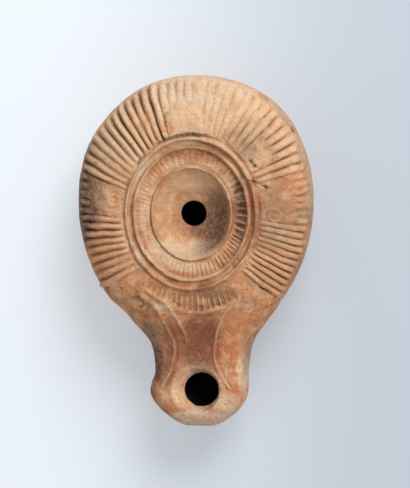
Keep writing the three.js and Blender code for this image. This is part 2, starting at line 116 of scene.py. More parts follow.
# How far each rib leans, in degrees of turn gained between the rings and the edge.
RIB_LEAN = [
    (0, 0), (30, 2), (62, 4.5), (97, 2), (115, 0), (139, -4), (156, 0), (204, 0),
    (222, 7), (246, 6), (262, 4), (292, 1), (315, 2), (335, 0), (360, 0),
]
# The thin rings as they are left: radius, height and half width of each crest or groove.
RING_LINES = [
    (15.75, 0.3, 0.3), (17.9, 0.28, 0.3), (11.0, 0.3, 0.22), (15.2, -0.3, 0.28), (16.3, -0.22, 0.3),
    (11.45, -0.25, 0.25), (6.9, 0.16, 0.35), (7.5, -0.14, 0.4),
]
PARTING_RING = 18.85
# The tongues inside the rings: turns, how many of them lie between one turn and the next, and how deep
# they are left, as turns and strengths.
TONGUE_TURNS = [0, 60, 115, 200, 330, 360]
TONGUE_COUNTS = [10, 7, 19, 28, 5]
TONGUE_STRENGTH = [
    (0, 0.2), (45, 0.4), (62, 1.15), (112, 1.1), (122, 0.6), (195, 0.5), (210, 0.2), (330, 0.2), (360, 0.2),
]
TONGUE_DEPTH = 0.85
TONGUE_END = 12.0
BORDER_HEIGHT = 0.16
# The fringe of tongues in front of the rings: first turn, last turn and how many; then its lower edge.
GARLAND = (151, 215, 18)
GARLAND_DEPTH = 0.42
GARLAND_STRENGTH = [(150, 0.8), (160, 1.0), (178, 0.85), (190, 0.75), (214, 0.65)]
GARLAND_EDGE = [
    (-12.6, -21.0), (-9.2, -23.6), (-4.6, -26.2), (2.0, -27.4), (7.4, -26.2), (11.4, -24.3), (14.0, -22.3),
]

INNER_VOLUTE = [
    (-12.9, -20.9), (-10.9, -21.9), (-8.3, -23.6), (-6.0, -26.2), (-3.9, -29.8), (-2.2, -33.4), (-1.6, -37.2),
]
LEFT_VOLUTE = [
    (-17.0, -23.2), (-14.9, -22.2), (-11.9, -24.0), (-10.0, -26.0), (-8.8, -28.4), (-7.6, -31.2),
    (-5.9, -34.6), (-5.2, -37.7), (-5.6, -40.7), (-6.6, -44.3), (-8.4, -47.6), (-9.5, -49.5),
]
RIGHT_VOLUTE = [
    (14.0, -22.3), (11.3, -24.9), (8.8, -27.8), (7.2, -31.0), (6.3, -34.6), (5.8, -38.0), (5.8, -40.2),
    (6.5, -42.6), (7.9, -45.5), (9.4, -47.9), (10.4, -49.0),
]
RIGHT_SECOND_LINE = [(7.6, -42.4), (8.7, -44.6), (10.0, -46.9), (11.0, -48.6)]
# Each ridge of the volutes: line, height, half width, how much lower the strip on its right lies, depth of
# the cut on its left, and how far the lower strip takes to reach its depth.
VOLUTES = [
    (INNER_VOLUTE, 0.45, 0.5, 0.4, 0.0, 2.2), (LEFT_VOLUTE, 0.65, 0.4, 0.6, 0.5, 2.2),
    (RIGHT_VOLUTE, 0.62, 0.34, 0.3, 0.4, 1.6), (RIGHT_SECOND_LINE, 0.25, 0.25, 0.0, 0.0, 2.2),
]
# Scrolls' eyes and rosettes: middle, radius, strength. Bosses: middle, radius, height.
SCROLL_EYES = [(-14.5, -25.1, 1.8, 0.45), (15.0, -25.6, 1.6, 0.2)]
ROSETTES = [(-21.5, 3.6, 1.5, 0.5), (22.9, -0.45, 1.6, 0.55), (0.1, -40.2, 1.4, 0.35)]
BOSSES = [(25.5, 4.8, 2.0, 0.35), (2.85, -24.3, 1.3, 0.5), (-24.6, 3.4, 3.4, 0.45), (-23.5, 5.2, 2.6, 0.3)]

PAD = SimpleNamespace(x=-2.2, y=24.9, half_width=5.4, half_length=5.0, rise=1.0)

# ---- damage

PAD_CREVICE = [(-11.0, 30.4), (-10.0, 26.4), (-8.7, 22.8), (-7.6, 20.6)]
CREVICE_DEPTH = 0.45
CREVICE_WIDTH = 0.4
# Cracks: places, half width, depth.
CRACKS = [
    ([(12.6, -26.5), (15.2, -26.2), (16.9, -27.0), (19.1, -26.2), (21.6, -25.3), (24.0, -24.6)], 0.13, 0.3),
    ([(9.6, -21.9), (11.9, -22.5), (12.6, -24.0)], 0.13, 0.25),
    ([(18.9, -20.2), (20.5, -20.9), (22.3, -21.9)], 0.2, 0.6),
    ([(16.1, 14.4), (16.6, 13.7), (17.3, 13.0)], 0.26, 0.7),
    ([(17.3, 13.0), (18.6, 12.5), (19.8, 12.2)], 0.14, 0.4),
    ([(16.1, 9.2), (17.2, 8.9), (18.3, 8.6), (19.3, 7.9), (20.2, 7.2), (21.3, 7.6)], 0.13, 0.4),
    ([(20.3, 7.6), (20.5, 6.7)], 0.3, 0.6),
    ([(21.2, 7.4), (21.9, 6.0), (21.5, 4.6)], 0.12, 0.3),
    ([(27.0, 23.2), (27.5, 22.5)], 0.2, 0.7),
    ([(-11.4, 17.2), (-10.2, 18.0)], 0.14, 0.3),
    ([(-9.6, 6.2), (-10.6, 3.9), (-11.1, 1.6), (-11.3, -0.8)], 0.12, 0.14),
]
# Pits: middle, radius, depth.
PITS = [
    (17.8, 10.6, 0.5, 0.25), (22.9, 4.3, 0.45, 0.3), (-7.8, -31.0, 0.5, 0.4), (-7.0, -44.2, 0.4, 0.5),
    (-19.6, -20.8, 0.6, 0.4), (9.0, -53.4, 0.5, 0.25), (-8.9, -48.9, 0.5, 0.35), (13.6, 9.6, 0.4, 0.3),
    (-26.4, 13.4, 0.6, 0.5), (-20.6, 27.2, 0.5, 0.3), (-12.6, -9.4, 0.4, 0.35), (-15.6, -15.2, 0.5, 0.5),
]

# ---- paint

# Ragged patches: strength, x, y, half width, half length, seed, and how ragged where that isn't RAGGED.
RAGGED = 0.5
PATCHES = {
    # The soot patch at 4.4, -3.6 is painted shadow over soot on the east of the discus floor.
    "soot_and_shadow": [
        (1, -30, 1.5, 4.6, 10.5, 1), (0.6, -27, 4.5, 4, 6, 2), (1, -12.2, -42, 3.2, 5.5, 3),
        (0.5, -13.4, -34, 2.4, 3.6, 75), (0.35, -12.5, -51.5, 2, 3, 4), (0.6, -15, -22.5, 1.3, 1.3, 5),
        (0.35, -6, -39, 4.5, 9, 7), (0.3, 1, -36, 7, 6, 8), (0.9, 4.4, -3.6, 5, 4.5, 66),
        (0.6, 13.4, 1, 1.8, 8, 9), (0.45, 5, -21, 6, 2, 10),
    ],
    "lime": [
        (0.8, -4, -10.5, 10, 3.4, 11), (0.9, -8.5, -25.6, 2.6, 0.9, 12), (0.7, 0, 34, 16, 5, 13),
        (0.2, -21, 20, 8, 9, 15), (0.8, 13.6, -45, 1.8, 7, 16), (0.8, 1, -57.5, 10, 2.6, 17),
        (0.6, 9.5, -53.5, 4.5, 4, 18), (0.5, -13.5, 6, 2, 14, 19), (0.5, -3, -14.5, 8, 1.2, 20),
    ],
    "green": [
        (0.8, -13.4, -15.6, 2.2, 1.2, 21), (0.7, -10.6, -19.2, 1.2, 1, 22), (0.9, 30.6, 0.4, 1.5, 2.2, 23),
        (0.8, 15.5, 17, 3, 4, 24, 0.6), (1, -12, -34, 2.6, 4, 25), (0.45, 14.6, -24, 1.6, 1.2, 26),
        (0.5, -9.8, -52.8, 2.4, 1.2, 27), (0.5, 6.5, -22.4, 2, 1, 28), (0.85, 14.6, -40, 1.6, 7, 29),
        (0.35, 13.8, 7, 1, 4, 30), (0.45, 23, -3, 6, 10, 61), (0.3, 14, 20, 7, 7, 62),
    ],
    "orange": [
        (0.7, -7, -56, 4, 2.4, 67), (0.6, 11.5, -50, 2.4, 4, 68), (0.6, 4, -57, 5, 1.6, 69),
        (1, 16.6, -28.6, 1.8, 1.5, 31), (0.6, 24, -15, 6, 7, 32), (0.9, -6, 23.6, 1.8, 2.2, 33),
        (0.5, -24, -12, 7, 8, 34), (0.6, 12, -34, 3.4, 7, 35), (0.5, -4.6, -46, 2, 3, 36),
        (0.5, -15, -18, 6, 3, 37), (0.45, 17, 2, 2.2, 10, 38), (0.4, -24, 3.5, 5, 4, 39),
        (0.75, 26.5, 6, 4.5, 6, 40),
    ],
    "dark": [
        (0.85, 2, -36, 5, 11, 41), (0.35, 24, 2, 7, 12, 72), (0.45, -24, 13, 7, 9, 73),
        (0.5, 0, 16, 9, 2.2, 74), (0.6, 1, -57, 10, 2.6, 70, 1.3), (0.4, 23, -13, 6, 8, 71),
        (0.6, 13.2, 2, 2, 9, 42), (0.7, -13.5, -50, 3, 6, 44), (0.6, 5, -23, 9, 2.6, 45),
        (0.5, -10, -43, 4, 6, 46), (0.5, 21, -3, 6, 8, 47), (0.4, 18, 7, 3, 3, 48),
    ],
    "pale": [
        # The first pale patch, on the funnel's north wall, is painted light on a wall that faces away from
        # the light.
        (0.8, 0, 8.5, 6, 2.6, 63), (0.2, -22, 12, 10, 14, 52), (0.35, 12, 27, 9, 7, 53),
        (0.35, -16, -10, 6, 9, 54), (0.6, -2, 25, 8, 7, 55), (0.6, -1, -16, 10, 3, 64),
    ],
}


def smoothstep(value, low, high):
    share = np.clip((value - low) / (high - low), 0, 1)
    return share * share * (3 - 2 * share)


def between(value, low, full, fading, high):
    """1 from `full` to `fading`, falling off smoothly to 0 at `low` and `high`."""
    return smoothstep(value, low, full) * (1 - smoothstep(value, fading, high))


def lerp(start, end, share):
    return start + (end - start) * share


# ---- random values


def hashed(cells, seed):
    """A random value from 0 to 1 for each whole-number cell."""
    factors = np.array([374761393, 668265263, 2147483647][: cells.shape[-1]], dtype=np.uint64)
    mixed = (cells.astype(np.int64).astype(np.uint64) * factors).sum(-1) + np.uint64(seed * 1442695)
    mixed = (mixed ^ (mixed >> np.uint64(13))) * np.uint64(1274126177)
    mixed = (mixed ^ (mixed >> np.uint64(16))) * np.uint64(2246822519)
    return ((mixed >> np.uint64(8)) & np.uint64(0xFFFFFF)).astype(float) / 0xFFFFFF


def chance(index, seed):
    """A random value from 0 to 1 for each numbered rib or tongue."""
    return hashed(np.floor(index).astype(np.int64)[..., None], seed)


def cloud(places, size, seed):
    """Smooth random values from -1 to 1, with hills about `size` mm across."""
    turned = places @ np.array([[0.8, 0.36, -0.48], [-0.6, 0.48, -0.64], [0, 0.8, 0.6]]) / size + seed * 7.3
    cells = np.floor(turned).astype(np.int64)
    share = turned - cells
    share = share * share * (3 - 2 * share)
    total = np.zeros(len(places))
    for corner in np.ndindex(2, 2, 2):
        weight = np.where(corner, share, 1 - share).prod(-1)
        total += weight * hashed(cells + np.array(corner), seed)
    return total * 2 - 1


def layered(places, size, seed):
    """Clouds of halving size and weight."""
    return sum(cloud(places, size / 2**n, seed + n) * 0.5**n for n in range(3)) / 1.6


# ---- outline and heights


def body_place(turns, half_length, fullness):
    """Places on the body's outline, in degrees counter-clockwise from +X."""
    across, along = np.cos(np.radians(turns)), np.sin(np.radians(turns))
    x = BODY_RADIUS * np.sign(across) * np.abs(across) ** (2 / fullness)
    y = BODY_CENTRE_Y + half_length * np.sign(along) * np.abs(along) ** (2 / fullness)
    lean = BACK_LEAN * np.sin(np.pi * np.clip((y - LEAN_START) / (LEAN_END - LEAN_START), 0, 1))
    return np.stack([x + lean, y], -1)


def smooth_line(points, steps):
    """A curve through the points, without its last point."""
    knots = np.array([points[0], *points, points[-1]], float)
    line = []
    for p0, p1, p2, p3 in zip(knots, knots[1:], knots[2:], knots[3:]):
        for t in np.arange(steps) / steps:
            a, b = (p2 - p0) / 2, (p3 - p1) / 2
            line.append((2 * p1 - 2 * p2 + a + b) * t**3 + (3 * p2 - 3 * p1 - 2 * a - b) * t**2 + a * t + p1)
    return np.array(line)


def outline_points():
    """The closed outline, clockwise from the back."""
    right, left = -FLANK_TURN, FLANK_TURN - 180

    def arc(start, end, steps, half_length, fullness=2):
        return body_place(np.linspace(start, end, steps, endpoint=False), half_length, fullness)

    def flank(points):
        return smooth_line(points, 12)

    return np.concatenate([
        arc(90, 0, 60, BACK, BACK_FULLNESS), arc(0, right, 40, BELLY),
        flank([body_place(right, BELLY, 2), *reversed(RIGHT_FLANK), TIP]),
        flank([TIP, *LEFT_FLANK, body_place(left, BELLY, 2)]),
        arc(left, -180, 40, BELLY), arc(180, 90, 60, BACK, BACK_FULLNESS),
    ])


OUTLINE = outline_points()


def bearing(x, y):
    return np.degrees(np.arctan2(x, y)) % 360


def from_line(points, line, closed=False):
    """Distance, share of the way along, and side (positive on the right) of each point from a line."""
    line = np.asarray(line, float)
    starts = line if closed else line[:-1]
    spans = (np.roll(line, -1, 0) if closed else line[1:]) - starts
    results = []
    for part in np.array_split(points, max(1, len(points) // 6000)):
        away = part[:, None] - starts
        share = np.clip((away * spans).sum(2) / (spans**2).sum(1), 0, 1)
        offset = away - share[..., None] * spans
        distance = np.hypot(offset[..., 0], offset[..., 1])
        best = distance.argmin(1)
        rows = np.arange(len(part))
        cross = away[rows, best, 0] * spans[best, 1] - away[rows, best, 1] * spans[best, 0]
        along = (best + share[rows, best]) / len(starts)
        results.append(np.stack([distance[rows, best], along, np.sign(cross)], 1))
    return np.concatenate(results).T


def edge_distance(points):
    return from_line(points, OUTLINE, closed=True)[0]


def outline_at(turns):
    """Where rays from the origin leave the outline."""
    around = bearing(OUTLINE[:, 0], OUTLINE[:, 1])
    order = np.argsort(around)
    reach = np.interp(turns, around[order], np.hypot(*OUTLINE.T)[order], period=360)
    return np.stack([reach * np.sin(np.radians(turns)), reach * np.cos(np.radians(turns))], 1)


def profile_height(ring):
    """Height over the middle of the lamp, smooth through the profile's points."""
    knots = np.array(FUNNEL + DISCUS_RIDGE + TONGUE_BAND + OUTER_RINGS)
    steps = np.diff(knots[:, 0])
    slopes = np.diff(knots[:, 1]) / steps
    product, total = slopes[:-1] * slopes[1:], slopes[:-1] + slopes[1:]
    inner = np.where(product > 0, 2 * product / np.where(total == 0, 1, total), 0)
    tangents = np.concatenate([[0], inner, [slopes[-1]]])
    cell = np.clip(np.searchsorted(knots[:, 0], ring) - 1, 0, len(steps) - 1)
    t = (ring - knots[cell, 0]) / steps[cell]
    return (knots[cell, 1] * (2 * t**3 - 3 * t**2 + 1) + knots[cell + 1, 1] * (3 * t**2 - 2 * t**3)
            + steps[cell] * (tangents[cell] * (t**3 - 2 * t**2 + t) + tangents[cell + 1] * (t**3 - t**2)))


def rounded(share, fullness):
    return (1 - (1 - np.clip(share, 0, 1)) ** fullness) ** (1 / fullness)


def neck_share(y):
    return smoothstep(-y, NECK_START, NECK_END)


def seam_height(y):
    return lerp(SEAM_Z, NOZZLE_SEAM_Z, neck_share(y))


def ring_radius(x, y):
    return np.hypot(x, y / RING_STRETCH)


def pad_reach(x, y):
    """0 in the middle of the handle's root and 1 on its arched edge."""
    return np.hypot((x - PAD.x) / PAD.half_width, np.maximum(y - PAD.y, 0) / PAD.half_length)


def pad_height(x, y):
    """The handle's root: a low arch whose foot runs into the rings."""
    return PAD.rise * (1 - smoothstep(pad_reach(x, y), 0.84, 1.02)) * smoothstep(y, 19, 21)


def top_height(points, inset=0.0):
    x, y = points.T
    neck, distance, ring = neck_share(y), edge_distance(points), ring_radius(x, y)
    crown = lerp(SHOULDER_Z, NOZZLE_Z, neck) - inset
    drop = lerp(SHOULDER_DROP, NOZZLE_DROP, neck) - inset
    shoulder = lerp(seam_height(y), crown, rounded((distance - inset) / drop, TOP_FULLNESS))
    shoulder = shoulder + (0 if inset else pad_height(x, y))
    sunken = profile_height(np.minimum(ring, SHOULDER_START)) - inset
    return np.where(ring < SHOULDER_START, sunken, shoulder)


def bottom_height(points, inset=0.0):
    y = points[:, 1]
    neck = neck_share(y)
    keel = lerp(KEEL_Z, NOZZLE_KEEL_Z, smoothstep(-y, FOOT_RADIUS, -TIP[1])) + inset
    drop = lerp(BOWL_DROP, NOZZLE_BOWL_DROP, neck) - inset
    return lerp(seam_height(y), keel, rounded((edge_distance(points) - inset) / drop, BOTTOM_FULLNESS))


# ---- skin

TOP, BOTTOM, INSIDE = 1, -1, 0


class Skin:
    """Rings of points, joined one after another into a closed skin that faces outwards.

    Every ring runs clockwise seen from above. Two joined rings have as many points, one has twice as many as
    the other, or one is a single point.
    """

    def __init__(self):
        self.places, self.turns, self.sides, self.faces = [], [], [], []
        self.count = 0

    def ring(self, points, heights, side, turns=None):
        points = np.asarray(points, float)
        heights = np.broadcast_to(heights, len(points))
        self.places.append(np.column_stack([points, heights]))
        self.turns.append(bearing(*points.T) if turns is None else turns)
        self.sides.append(np.full(len(points), side))
        self.count += len(points)
        return np.arange(self.count - len(points), self.count)

    def lay(self, points, height, side, turns=None):
        """A ring on a surface: `height` gives the height of each point."""
        return self.ring(points, height(points), side, turns)

    def join(self, first, second):
        if len(first) == 1:
            self.faces += [(first[0], b, a) for a, b in zip(second, np.roll(second, -1))]
        elif len(second) == 1:
            self.faces += [(a, b, second[0]) for a, b in zip(first, np.roll(first, -1))]
        elif len(first) == len(second):
            self.faces += zip(first, np.roll(first, -1), np.roll(second, -1), second)
        elif len(second) == 2 * len(first):
            halves = second[::2], second[1::2], np.roll(second[::2], -1)
            for a, b, low, middle, high in zip(first, np.roll(first, -1), *halves):
                self.faces += [(a, b, middle), (b, high, middle), (a, middle, low)]
        else:
            halves = first[::2], first[1::2], np.roll(first[::2], -1)
            for a, middle, c, low, high in zip(*halves, second, np.roll(second, -1)):
                self.faces += [(a, middle, low), (middle, high, low), (middle, c, high)]


# How many columns run across the neck, round the body and round the nozzle, and how many rows run from the
# rings, the foot or the rims to the edge. A ring of level 2, 4 or 8 keeps every second, fourth or eighth
# column.
CHORD_COLUMNS = 104
ROUND_COLUMNS = 664
NOZZLE_COLUMNS = 248
SHOULDER_ROWS = 56
BOWL_ROWS = 22
NOZZLE_ROWS = 40
NOZZLE_BOWL_ROWS = 20
HOLLOW_ROWS = 8
HOLLOW_LEVEL = 8
HOLLOW_CROWDING = 1.6
FUNNEL_ROWS = [3.75, 4.0, 4.4, 4.9, 5.5, 6.1, 6.7, 7.3, 7.9, 8.5, 9.1, 9.7, 10.2]
RING_ROWS = [
    *np.arange(10.6, 11.8, 0.15), *np.arange(12.0, 15.1, 0.28), *np.arange(15.25, 16.45, 0.15),
    16.7, 17.0, 17.3, *np.arange(17.5, 18.5, 0.15),
]


def column_turns():
    """Turns of the columns: across the nozzle's neck first, then round the body."""
    ends = outline_at(np.array([180 - CHORD_TURN, 180 + CHORD_TURN]))
    shares = np.arange(CHORD_COLUMNS)[:, None] / CHORD_COLUMNS
    chord = lerp(ends[0], ends[1], shares)
    around = np.linspace(180 + CHORD_TURN, 540 - CHORD_TURN, ROUND_COLUMNS, endpoint=False) % 360
    lean = np.interp(around, *zip(*RIB_LEAN))
    edge = np.concatenate([chord, outline_at(around + lean)])
    return np.concatenate([bearing(*chord.T), around]), edge


TURNS, EDGE = column_turns()


def nozzle_edge():
    """The outline round the nozzle, clockwise between the ends of the chord, evenly spaced."""
    turns = bearing(*OUTLINE.T)
    inside = OUTLINE[(turns > 180 - CHORD_TURN) & (turns < 180 + CHORD_TURN)]
    line = np.concatenate([EDGE[:1], inside, EDGE[CHORD_COLUMNS:CHORD_COLUMNS + 1]])
    along = np.concatenate([[0], np.cumsum(np.hypot(*np.diff(line, axis=0).T))])
    wanted = np.linspace(0, along[-1], NOZZLE_COLUMNS + 1)[1:-1]
    return np.column_stack([np.interp(wanted, along, line[:, 0]), np.interp(wanted, along, line[:, 1])])


NOZZLE_EDGE = nozzle_edge()


def on_ring(radius, level):
    """Points at one radius of the oval rings."""
    direction = np.stack([np.sin(np.radians(TURNS[::level])), np.cos(np.radians(TURNS[::level]))], 1)
    return direction * (radius / ring_radius(*direction.T))[:, None]


def on_circle(circle, towards):
    """Points on a circle (x, y, radius), in the directions of other points."""
    middle = np.array(circle[:2])
    away = towards - middle
    return middle + away * (circle[2] / np.hypot(*away.T))[:, None]


def edge_ring(skin, height, side, seam=None):
    """The body's outermost ring: the chord across the neck, then the seam. Returns the ring."""
    if seam is None:
        heights = np.where(np.arange(len(EDGE)) >= CHORD_COLUMNS, seam_height(EDGE[:, 1]), height(EDGE))
        heights[0] = seam_height(EDGE[0, 1])
        return skin.ring(EDGE, heights, side, TURNS)
    neck = EDGE[1:CHORD_COLUMNS]
    return np.concatenate([seam[:1], skin.ring(neck, height(neck), side), seam[CHORD_COLUMNS:]])


def crowding(points, at_seam=1.8):
    """How strongly rows crowd towards the edge: not on the chord, where the surface is level."""
    across = np.abs((bearing(*points.T) + 180) % 360 - 180)
    on_chord = np.abs(180 - bearing(*points.T)) < CHORD_TURN - 1e-6
    return np.where(on_chord, lerp(1.0, at_seam, smoothstep(180 - across, 9, CHORD_TURN)), at_seam)


def rows_between(inner, outer, rows, power):
    """Rings of points from inner to outer, without the ends."""
    for share in np.linspace(0, 1, rows + 1)[1:-1]:
        crowded = 1 - (1 - share) ** power
        yield lerp(inner, outer, crowded[:, None])


def chain(skin, rings):
    for first, second in zip(rings, rings[1:]):
        skin.join(first, second)


def body_top(skin, rim):
    """Top of the body from the filling hole's rim to the edge."""
    rings = [rim]
    hole = np.array(FILLING_HOLE[:2])
    for radius in FUNNEL_ROWS:
        share = smoothstep(radius, FILLING_HOLE[2], 8)
        points = lerp(on_circle((*hole, radius), on_ring(radius, 4)), on_ring(radius, 4), share)
        rings.append(skin.lay(points, top_height, TOP))
    for radius in RING_ROWS:
        points = on_ring(radius, 2)
        rings.append(skin.lay(points, top_height, TOP))
    start = on_ring(SHOULDER_START, 1)
    rings.append(skin.lay(start, top_height, TOP, TURNS))
    for points in rows_between(start, EDGE, SHOULDER_ROWS, crowding(EDGE)):
        rings.append(skin.lay(points, top_height, TOP, TURNS))
    edge = edge_ring(skin, top_height, TOP)
    chain(skin, [*rings, edge])
    return edge


def body_bottom(skin, edge):
    """Underside of the body from the edge to the middle of the foot."""
    seam = edge_ring(skin, bottom_height, BOTTOM, edge)
    rings = [seam]
    foot = on_ring(FOOT_RADIUS + 0.9, 2)
    for points in reversed(list(rows_between(foot, EDGE[::2], BOWL_ROWS, crowding(EDGE[::2], 1.4)))):
        rings.append(skin.lay(points, bottom_height, BOTTOM))
    groove_start, groove_end = FOOT_GROOVE
    steps = [
        (FOOT_RADIUS + 0.9, 2, KEEL_Z), (FOOT_RADIUS + 0.2, 2, 0.3), (FOOT_RADIUS - 0.2, 2, 0.0),
        (groove_end + 0.2, 4, 0.0), (groove_end - 0.3, 4, FOOT_GROOVE_DEPTH),
        (groove_start + 0.3, 4, FOOT_GROOVE_DEPTH), (groove_start - 0.2, 4, 0.0),
        (9.0, 4, 0.0), (5.0, 8, 0.0),
    ]
    for radius, level, height in steps:
        rings.append(skin.ring(on_ring(radius, level), height, BOTTOM))
    rings.append(skin.ring([(0, 0)], 0.0, BOTTOM))
    chain(skin, rings)
    return seam


def nozzle_ring(chord_ring, seam, level):
    """A ring round the nozzle: the chord backwards, then the nozzle's own outline."""
    chord = chord_ring[: CHORD_COLUMNS // level + 1]
    return np.concatenate([chord[::-1], seam])


def nozzle_points(level):
    chord = EDGE[: CHORD_COLUMNS + 1][::-1]
    return np.concatenate([chord, NOZZLE_EDGE])[::level]


def nozzle_top(skin, chord_ring, seam, rim):
    """Top of the nozzle from the wick hole's rim to its edge."""
    outer = nozzle_points(1)
    fine_rim = on_circle((*WICK_BEVEL[:2], WICK_BEVEL[2] + 1.5), outer)
    coarse = outer[::2]
    hole, bevel = on_circle(WICK_HOLE, coarse), on_circle(WICK_BEVEL, coarse)
    rings = [rim]
    for share in [0.25, 0.5, 0.75, 0.92]:
        points = lerp(hole, bevel, share)
        rings.append(skin.ring(points, top_height(bevel) - BEVEL_DEPTH * (1 - share) ** 1.5, TOP))
    for grown in [0, 0.3, 0.6, 0.9, 1.2]:
        points = on_circle((*WICK_BEVEL[:2], WICK_BEVEL[2] + grown), coarse)
        rings.append(skin.lay(points, top_height, TOP))
    rings.append(skin.lay(fine_rim, top_height, TOP))
    for points in rows_between(fine_rim, outer, NOZZLE_ROWS, crowding(outer, 2.0)):
        rings.append(skin.lay(points, top_height, TOP))
    edge = nozzle_ring(chord_ring, seam, 1)
    chain(skin, [*rings, edge])


def nozzle_bottom(skin, chord_ring, seam):
    """Underside of the nozzle from its edge to a point under the wick hole."""
    outer = nozzle_points(2)
    middle = on_circle((*WICK_HOLE[:2], 0.8), outer)
    rings = [nozzle_ring(chord_ring, seam, 1)]
    for points in reversed(list(rows_between(middle, outer, NOZZLE_BOWL_ROWS, crowding(outer, 1.6)))):
        rings.append(skin.lay(points, bottom_height, BOTTOM))
    coarse = middle[::4]
    rings.append(skin.lay(middle[::2], bottom_height, BOTTOM))
    rings.append(skin.lay(coarse, bottom_height, BOTTOM))
    rings.append(skin.lay(np.array([WICK_HOLE[:2]]), bottom_height, BOTTOM))
    chain(skin, rings)


def hole_wall(skin, below, above_points, above_heights, drop):
    """Rings up a hole's wall from the chamber's coarse ring to the rim. Returns the rim."""
    count = len(above_points)
    rings = [below]
    level = count // len(below)
    while level > 1:
        level //= 2
        points = above_points[::level]
        rings.append(skin.ring(points, above_heights[::level] - drop * (0.3 + 0.3 * level), INSIDE))
    rings.append(skin.ring(above_points, above_heights - 0.5, INSIDE))
    rim = skin.ring(above_points, above_heights - 0.12, TOP)
    chain(skin, [*rings, rim])
    return rim


def hollow_part(skin, hole, outer, floor_edge, ceiling_edge):
    """Floor and ceiling of the hollow round one hole. Returns the hole's rim in the ceiling."""
    middle = np.array([hole[:2]])
    rim = on_circle(hole, outer)
    rows = list(rows_between(rim, outer, HOLLOW_ROWS, np.full(len(outer), HOLLOW_CROWDING)))
    floor = [skin.ring(middle, bottom_height(middle, WALL), INSIDE)]
    floor += [skin.ring(row, bottom_height(row, WALL), INSIDE) for row in [rim, *rows]]
    ceiling = [skin.ring(row, top_height(row, WALL), INSIDE) for row in [*reversed(rows), rim]]
    chain(skin, [*floor, floor_edge])
    chain(skin, [ceiling_edge, *ceiling])
    return ceiling[-1]


def chamber(skin):
    """The hollow of the body and the nozzle. Returns the coarse rims of both holes."""
    level = HOLLOW_LEVEL
    edge = EDGE[::level]
    chord = CHORD_COLUMNS // level
    inner = edge * (1 - WALL / np.hypot(*edge.T))[:, None]
    inner[: chord + 1] = lerp(inner[0], inner[chord], np.linspace(0, 1, chord + 1)[:, None])
    neck = inner[1:chord]
    heights = [seam_height(inner[:1, 1]), bottom_height(neck, WALL), seam_height(inner[chord:, 1])]
    floor_edge = skin.ring(inner, np.concatenate(heights), INSIDE)
    ceiling_chord = skin.ring(neck, top_height(neck, WALL), INSIDE)
    ceiling_edge = np.concatenate([floor_edge[:1], ceiling_chord, floor_edge[chord:]])

    wick = np.array(WICK_HOLE[:2])
    away = nozzle_points(level) - wick
    shrunk = wick + away * (1 - NOZZLE_WALL / np.hypot(*away.T))[:, None]
    shrunk[: chord + 1] = inner[: chord + 1][::-1]
    seam = skin.ring(shrunk[chord + 1:], seam_height(shrunk[chord + 1:, 1]), INSIDE)
    nozzle_floor, nozzle_ceiling = (nozzle_ring(ring, seam, level) for ring in (floor_edge, ceiling_edge))
    return [
        hollow_part(skin, FILLING_HOLE, inner, floor_edge, ceiling_edge),
        hollow_part(skin, WICK_HOLE, shrunk, nozzle_floor, nozzle_ceiling),
    ]


def lamp_skin():
    skin = Skin()
    filling_below, wick_below = chamber(skin)
    filling_rim = on_circle(FILLING_HOLE, EDGE[::4])
    rim = hole_wall(skin, filling_below, filling_rim, top_height(filling_rim), 2.4)
    edge = body_top(skin, rim)
    seam = body_bottom(skin, edge)
    nozzle_seam = skin.ring(NOZZLE_EDGE, seam_height(NOZZLE_EDGE[:, 1]), TOP)
    coarse = nozzle_points(2)
    wick_rim = hole_wall(skin, wick_below, on_circle(WICK_HOLE, coarse),
                         top_height(on_circle(WICK_BEVEL, coarse)) - BEVEL_DEPTH, 1.2)
    nozzle_top(skin, edge, nozzle_seam, wick_rim)
    nozzle_bottom(skin, seam, nozzle_seam)
    return skin


def normals_of(places, faces):
    """Outward directions of the points, from the faces round them."""
    normals = np.zeros_like(places)
    for size in (3, 4):
        some = np.array([face for face in faces if len(face) == size])
        a, b, c = places[some[:, 0]], places[some[:, 1]], places[some[:, -1]]
        across = np.cross(places[some[:, 2]] - a, c - b) if size == 4 else np.cross(b - a, c - a)
        for corner in range(size):
            np.add.at(normals, some[:, corner], across)
    return normals / np.maximum(np.linalg.norm(normals, axis=1, keepdims=True), 1e-9)


# ---- relief over the base form


def ridge(distance, half_width):
    return np.exp(-((distance / half_width) ** 2))


def wear(at, middle, swing, size, seed, low, high):
    """Uneven wear: a cloud about a middle value, kept between two bounds."""
    return np.clip(middle + swing * cloud(at.places, size, seed), low, high)


def stretch_values(turns, column):
    """A value of the rib stretches, softened where two stretches meet."""
    knots, values = [], []
    for stretch in RIB_STRETCHES:
        soft = min(1.0, (stretch[1] - stretch[0]) / 4)
        knots += [stretch[0] + soft, stretch[1] - soft]
        values += [stretch[column]] * 2
    return np.interp(turns, knots, values, period=360)


def ribs(at):
    """Rounded ribs with narrow grooves between them."""
    starts = [stretch[0] for stretch in RIB_STRETCHES] + [360]
    counted = np.concatenate([[0], np.cumsum([stretch[COUNT] for stretch in RIB_STRETCHES])])
    number = np.interp(at.turn, starts, counted) + 0.13 * cloud(at.places, 4, 11)
    across = np.abs(number % 1 - 0.5) * 2
    left = between(at.turn, 210, 230, 335, 350)
    outer_end = lerp(RIB_EDGE, LEFT_RIB_EDGE, left) + 0.7 * (chance(number, 12) - 0.4)
    inner_end = SHOULDER_START + 0.5 + 0.7 * chance(number, 13)
    reach = stretch_values(at.turn, REACH) + 1.4 * (chance(number, 14) - 0.5)
    kept = smoothstep(at.edge, outer_end - 0.7, outer_end + 0.9)
    kept = kept * smoothstep(at.ring, inner_end - 0.5, inner_end + 0.5)
    kept = kept * smoothstep(reach - at.edge, -0.6, 1.2)
    worn = wear(at, 0.85, 0.5, 4.5, 15, 0.3, 1.15) * lerp(0.7, 1.15, chance(number, 16))
    strength = stretch_values(at.turn, STRENGTH) * worn * kept * smoothstep(at.y, -32, -26)
    height = 0.6 - across ** stretch_values(at.turn, FULLNESS)
    return RIB_DEPTH * strength * height * np.clip(at.radius / 27, 0.7, 1.15)


